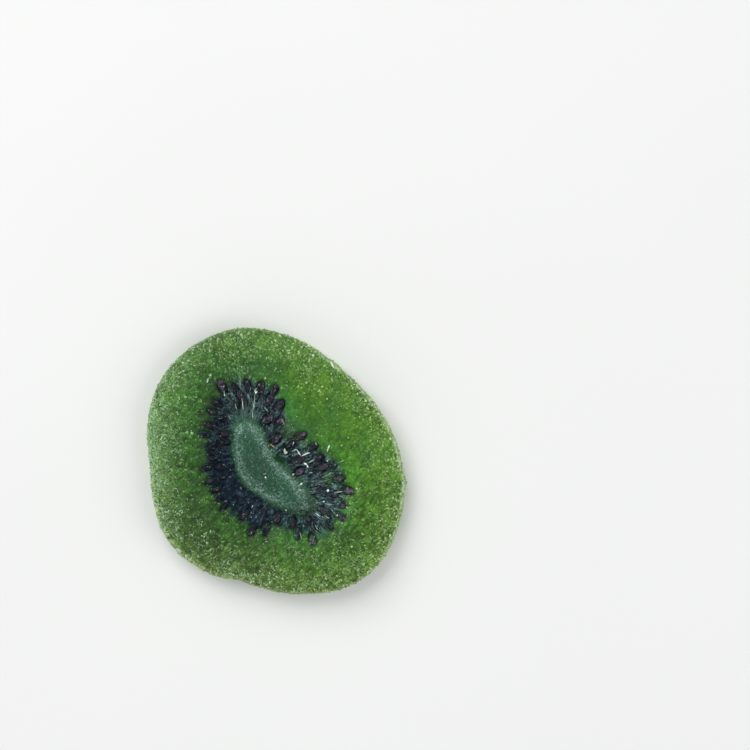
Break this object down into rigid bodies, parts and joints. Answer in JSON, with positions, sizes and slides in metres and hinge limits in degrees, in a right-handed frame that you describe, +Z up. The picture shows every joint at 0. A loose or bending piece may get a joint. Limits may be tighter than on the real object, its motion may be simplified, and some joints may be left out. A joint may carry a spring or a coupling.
{
  "type": "candied kiwi slice",
  "caption": "Thick round slice of candied kiwi with a long pale core, a ring of dark seeds and sugar-frosted green flesh, lying flat on a cut face.",
  "frame": {"origin": "middle of the slice's footprint, on the surface that it lies on", "axes": "+Z up, out of the cut face that shows; +X to the right and +Y away, seen from above"},
  "size_m": [0.0444, 0.0456, 0.0056],
  "materials": {
    "kiwi_flesh": "translucent candied fruit, satin, with fine sugar frosting",
    "kiwi_seeds": "dull purple-black seed coats",
    "sugar": "fine pale crystals"
  },
  "bodies": {
    "root": {"kiwi_slice": "kiwi_flesh"}
  },
  "joints": []
}
